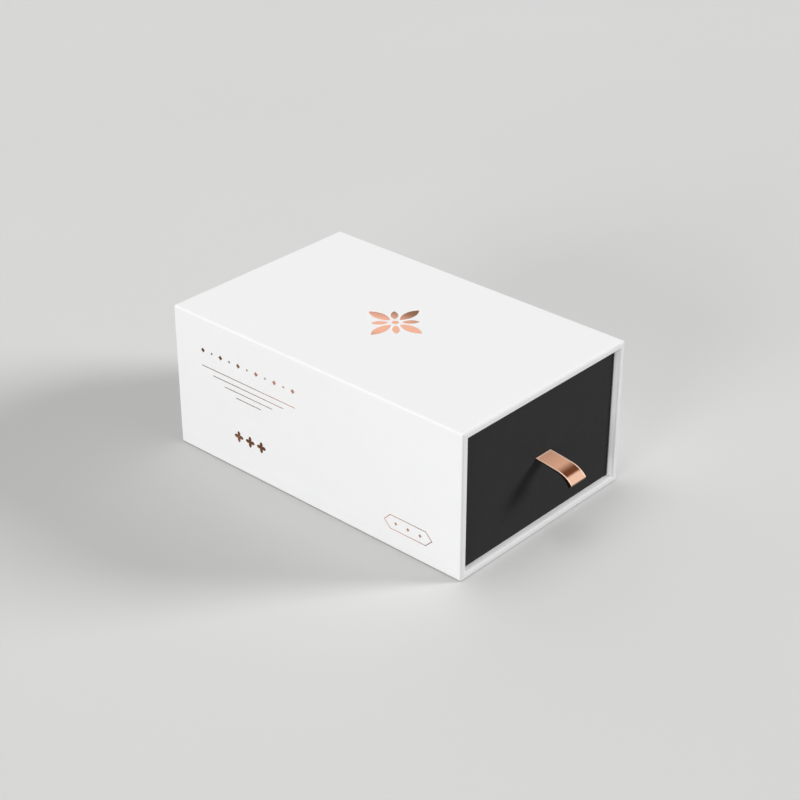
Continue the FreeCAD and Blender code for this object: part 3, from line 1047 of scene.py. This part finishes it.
bm = bmesh.new()
outside = cartouche_length, cartouche_width
inside = cartouche_length - 2 * math.sqrt(2) * cartouche_line, cartouche_width - 2 * cartouche_line
loops = [pointed_bar(bm, *size, height)
         for size, height in ((outside, 0.0), (outside, foil_mm), (inside, foil_mm), (inside, 0.0))]
join_rings(bm, loops + loops[:1])
bm.transform(on_left_side("side_foil_cartouche") @ Matrix.Scale(MM, 4))
cartouche = finish_piece("side_cartouche_foil", bm, rose_gold_foil)
stand_for(cartouche, "sleeve", "side_foil_cartouche")
stamp("side_beads_foil", row_tree, "side_foil_cartouche", on_left_side("side_foil_cartouche"),
      Count=3, Step_across=cartouche_length / 4, Length=bead, Width=bead, Odd_share=1.0)

# %% [markdown]
# The ribbon's line. One ribbon is doubled: both its ends go through the slit, bend apart and lie
# glued against the inside of the front board, and the doubled part hangs out as the pull. It leaves
# the board straight, droops gently and turns down at its end, where the two layers open into a loop.
# Three arcs that run on into each other are enough for that. Their places are in millimetres from
# the middle of the slit: outwards and upwards.

# %% How the loop droops
droop_runs = (1.0, 14.5, 11.6)      # the loop's bends, from the slit outwards: their lengths
droop_turns = (6.3, 3.4, 43.7)      # and how many degrees downwards each one turns


def droop_at(distance):
    """Place and heading on the loop's middle line, this far along it from the slit."""
    outwards = upwards = heading = 0.0
    for length, turn in zip(droop_runs, droop_turns):
        run = min(distance, length)
        half_turn = math.radians(turn) * run / length / 2
        chord = run * math.sin(half_turn) / half_turn if half_turn else run
        heading -= half_turn
        outwards += chord * math.cos(heading)
        upwards += chord * math.sin(heading)
        heading -= half_turn
        distance -= run
    return outwards, upwards, heading


droop_length = sum(droop_runs)
outwards, upwards, heading = droop_at(droop_length)
print("loop reaches", round(outwards, 1), "mm out and", round(-upwards, 1), "mm down")

# %% [markdown]
# The line follows the middle of the ribbon's thickness all the way from one end to the other: down
# one tail, through the slit, out along the upper layer, round the loop's end and back the same way.

# %% The ribbon's line
ribbon_thickness = 0.35
layer_gap = 0.1                     # from each layer to the middle between them
slit_clearance = 0.15
front_board = 2.25                  # with its paper
tail_length = 25.0
tip_radius, tip_swell = 1.2, 6
tail_points, bend_steps, droop_steps, tip_steps = 24, 8, 44, 20


def layer_line(side):
    """The middle of one layer: its hidden part, from its end to the slit, and its part outside."""
    outside = []
    for step in range(droop_steps + 1):
        share = step / droop_steps
        outwards, upwards, heading = droop_at(share * droop_length)
        swell = share ** tip_swell * (1 + tip_swell * (1 - share))
        half = layer_gap + (tip_radius - layer_gap) * swell + ribbon_thickness / 2
        direction = heading + side * math.pi / 2
        outside.append((outwards + half * math.cos(direction), upwards + half * math.sin(direction)))
    bend = slit_clearance + ribbon_thickness / 2
    behind, above = slit_clearance - front_board, layer_gap + ribbon_thickness + slit_clearance
    corner = [(behind - bend * math.cos(angle), side * (above - bend * math.sin(angle)))
              for angle in (math.pi / 2 * step / bend_steps for step in range(bend_steps + 1))]
    tail_end = layer_gap + ribbon_thickness + tail_length
    tail = [(corner[0][0], side * (tail_end - step)) for step in range(tail_points)]
    return tail + corner, outside


def length_of(line):
    """The length of a line of points."""
    return sum(math.dist(first, second) for first, second in zip(line, line[1:]))


tip_half = tip_radius + ribbon_thickness / 2
tip = [(outwards + tip_half * math.cos(heading + angle), upwards + tip_half * math.sin(heading + angle))
       for angle in (math.pi / 2 - math.pi * step / tip_steps for step in range(1, tip_steps))]
upper_tail, upper_layer = layer_line(1)
lower_tail, lower_layer = layer_line(-1)
ribbon_line = upper_tail + upper_layer + tip + lower_layer[::-1] + lower_tail[::-1]
ribbon_length = length_of(ribbon_line)
hidden_length = length_of(upper_tail + upper_layer[:1])
print("ribbon", round(ribbon_length, 1), "mm long, of which", round(hidden_length, 1), "hidden at each end")

# %% [markdown]
# Satin is woven so that long threads lie side by side on its face and float over the others. They
# mirror light sharply along the threads and broadly across them, which the shader's anisotropy does:
# its tangent runs across the ribbon. Over the bend its colour is painted darker, as painted shade;
# past the bend it is painted paler, as a painted highlight, and round the loop's end it is painted
# nearly black, as painted shade. The two selvedges are woven tighter and look paler, and so is the
# cloth where the slit presses it; the hot-cut edges are brown and are painted nearly black besides,
# as painted shade, and the back of the cloth, inside the loop, is dull and painted nearly black
# as well, as painted shade.
# The ribbon's own map says where all this is: across and along it, in metres. Each change starts
# somewhere and is full a little further on.

# %% Where the satin changes
half_width = ribbon_width / 2
selvedge = 0.9 * MM
paler = half_width - 1.15 * selvedge, half_width - 0.8 * selvedge     # the start, and where it is full
cut_by_heat = half_width - 0.14 * MM, half_width - 0.05 * MM
# from here on, distances outwards from the slit
pressed_in = 0.9 * MM, 0.5 * MM
# where the painted shade over the bend and the painted highlight past it start and are full
bent, bent_back = (13.4 * MM, 20.2 * MM), (22.0 * MM, 24.0 * MM)
# round the loop's end the satin is painted nearly black, as painted shade
tip_shade_span = 28.1 * MM, 28.8 * MM
# the polished tone is a painted highlight
highlight_share = 0.8                 # share of the way to the polished tone
loop_end = round(ribbon_length, 1) / 2 * MM      # to a tenth of a millimetre, as a rule would show it
slit_to_loop_end = loop_end - round(hidden_length, 1) * MM

copper_satin, tree, shader, _ = new_finish("copper_satin")
cloth = wire(tree, "ShaderNodeUVMap", uv_map="weave")
across, along, _ = split(cloth)
from_axis = abs(across)
from_slit = slit_to_loop_end - abs(along - loop_end)
pressed = smooth_step(from_slit, *pressed_in)
edge = smooth_step(from_axis, *paler).calc("MAXIMUM", pressed)
# the cut edges are brown, and painted nearly black besides, as painted shade
cut = smooth_step(from_axis, *cut_by_heat)
past_bend = smooth_step(from_slit, *bent_back)
# painted shade over the bend
bend_shade = smooth_step(from_slit, *bent) - past_bend
# painted shade round the loop's end
tip_shade = smooth_step(from_slit, *tip_shade_span)
# the back of the cloth, inside the loop, is painted nearly black, as painted shade
back = carried(tree, "back")
print("satin is darkest", round(bent[1] / MM, 1), "mm from the slit")

# %% Copper satin
thread_pitch = 0.17 * MM
float_pitch, float_skew = 2.4 * thread_pitch, 0.38
thread_height, float_height, selvedge_height = 0.006 * MM, 0.004 * MM, 0.03 * MM
streaks_per_metre = (5200.0, 160.0, 1.0)
# past the bend the tone is a painted highlight; over the bend, round the loop's end, on the cut edges and
# on the back it is painted shade
deep_satin, pale_satin = (0.665, 0.355, 0.231), (0.775, 0.424, 0.279)
highlight_satin, bend_shade_satin = (0.70, 0.445, 0.326), (0.125, 0.033, 0.007)
tight_satin, tip_shade_satin = (0.86, 0.62, 0.49), (0.06, 0.022, 0.009)
cut_and_shade_satin, back_shade_satin = (0.07, 0.035, 0.02), (0.02, 0.009, 0.005)
sheen, mottle, dulling = 0.36, 0.08, 0.22


def wave(distance, pitch):
    """A ripple between -1 and 1 that repeats after each pitch."""
    return (distance * (math.tau / pitch)).calc("SINE")


stretched = wire(tree, "ShaderNodeVectorMath", {0: cloth, 1: streaks_per_metre}, operation="MULTIPLY")
streaks = noise(stretched, 1.0)
tone = mix_colour(streaks, deep_satin, pale_satin)
# these shares lay painted highlight and painted shade on the satin, besides its paler selvedges
for share, other in ((highlight_share * past_bend, highlight_satin), (bend_shade, bend_shade_satin), (edge, tight_satin),
                     (tip_shade, tip_shade_satin), (cut, cut_and_shade_satin), (back, back_shade_satin)):
    tone = mix_colour(share, tone, other)
roughness = sheen + mottle * streaks + dulling * edge.calc("MAXIMUM", back)
tangent = wire(tree, "ShaderNodeTangent", direction_type="UV_MAP", uv_map="weave")
set_shader(shader, Base_Color=tone, Roughness=roughness, Tangent=tangent,
           Specular_IOR_Level=0.3, Anisotropic=0.75)

threads = thread_height * wave(across, thread_pitch)
floats = float_height * wave(along + float_skew * across, float_pitch)
add_bump(shader, selvedge_height * edge + threads + floats, strength=0.7)
print("made", copper_satin.name)

# %% [markdown]
# The ribbon tree sweeps a section along that line. The section starts as a circle of points, which
# is pressed flat: thin in the middle, a little thicker in the two selvedges and round at the very
# edges. It also writes, for every corner of every face, how far across and how far along the ribbon
# it is; that is the map that the weave is drawn on.

# %% Tree for the ribbon
section_points = 56
squareness = 60.0            # the higher, the nearer to its edge the ribbon keeps its thickness
thick_from = 0.6             # share of the selvedge's width where it has its full thickness


def store(geometry, name, value, kind="FLOAT", domain="POINT"):
    """The geometry with this value written on it under this name."""
    feeds = {"Geometry": geometry, "Name": name, "Value": value}
    return wire(geometry.tree, "GeometryNodeStoreNamedAttribute", feeds, data_type=kind, domain=domain)


def read(tree, name):
    """The number written on the geometry under this name."""
    return wire(tree, "GeometryNodeInputNamedAttribute", {"Name": name}, data_type="FLOAT")


ribbon_tree, asked = new_tree("ribbon", "Width", "Selvedge", "Extra")
line = wire(ribbon_tree, "GeometryNodeMeshToCurve", {"Mesh": asked["Geometry"]})
feeds = {"Curve": line, "Normal": (1.0, 0.0, 0.0)}
line = wire(ribbon_tree, "GeometryNodeSetCurveNormal", feeds, mode="FREE")
line = store(line, "along", wire(ribbon_tree, "GeometryNodeSplineParameter", output="Length"))

circle = {"Resolution": section_points, "Radius": 1.0}
section = wire(ribbon_tree, "GeometryNodeCurvePrimitiveCircle", circle, mode="RADIUS")
x, y, _ = split(wire(ribbon_tree, "GeometryNodeInputPosition"))
half = 0.5 * asked["Width"]
from_edge = half - abs(x) * half
in_selvedge = smooth_step(from_edge, asked["Selvedge"], thick_from * asked["Selvedge"])
deep = in_selvedge * asked["Extra"] + 0.5 * asked["Thickness"]
round_edge = (1 - abs(x) ** squareness).calc("MAXIMUM", 0.0).calc("SQRT")
pressed = make_place(ribbon_tree, x * half, deep * round_edge * y.calc("SIGN"))
section = store(section, "across", x * half)
# the back face is where the satin is painted nearly black, as painted shade
section = store(section, "back", y.calc("LESS_THAN", 0.0))
section = move_points(section, pressed)

feeds = {"Curve": line, "Profile Curve": section, "Fill Caps": True}
swept = wire(ribbon_tree, "GeometryNodeCurveToMesh", feeds)
weave = make_place(ribbon_tree, MM * read(ribbon_tree, "across"), MM * read(ribbon_tree, "along"))
end_tree(store(swept, "weave", weave, "FLOAT2", "CORNER"), asked["Material"])

# %% The ribbon pull
selvedge_extra = 0.03
ribbon_sharp_angle = math.radians(60)
line_mesh = bpy.data.meshes.new("ribbon_line")
line_mesh.from_pydata([(0.0, -outwards, upwards) for outwards, upwards in ribbon_line],
                      [(number, number + 1) for number in range(len(ribbon_line) - 1)], [])
ribbon = grow_piece("ribbon_pull_satin", ribbon_tree, {
    "Width": ribbon_width / MM, "Thickness": ribbon_thickness, "Selvedge": selvedge / MM,
    "Extra": selvedge_extra, "Material": copper_satin}, Matrix.Translation(slit), line_mesh)
bm = bmesh.new()
bm.from_mesh(ribbon.data)
bmesh.ops.recalc_face_normals(bm, faces=bm.faces[:])
bm.to_mesh(ribbon.data)
bm.free()
shade(ribbon.data, ribbon_sharp_angle)
stand_for(ribbon, "drawer", "ribbon_pull")
print("ribbon box, mm:", [round(side / MM, 2) for side in ribbon.dimensions])

# %% [markdown]
# The pieces that are right as they come from the CAD model keep their shape and only get a finish:
# boards, corner tape, linings, the two closing sheets and the drawer's floor.

# %% Finishes on the CAD pieces
kept = {
    greyboard: [f"sleeve_{side}_board" for side in ("top", "bottom", "left", "right", "back")]
    + [f"drawer_{side}_board" for side in ("front", "back", "left", "right", "base")],
    gummed_tape: ["sleeve_corner_stays", "drawer_corner_stays"],
    white_paper: ["sleeve_bottom_sheet", "sleeve_back_sheet", "sleeve_wall_lining", "sleeve_back_lining"],
    black_paper: ["drawer_floor_liner"],
}
for finish, names in kept.items():
    for name in names:
        for slot_of_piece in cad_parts[name].material_slots:
            slot_of_piece.material = finish
    print(finish.name, "on", len(names), "pieces")
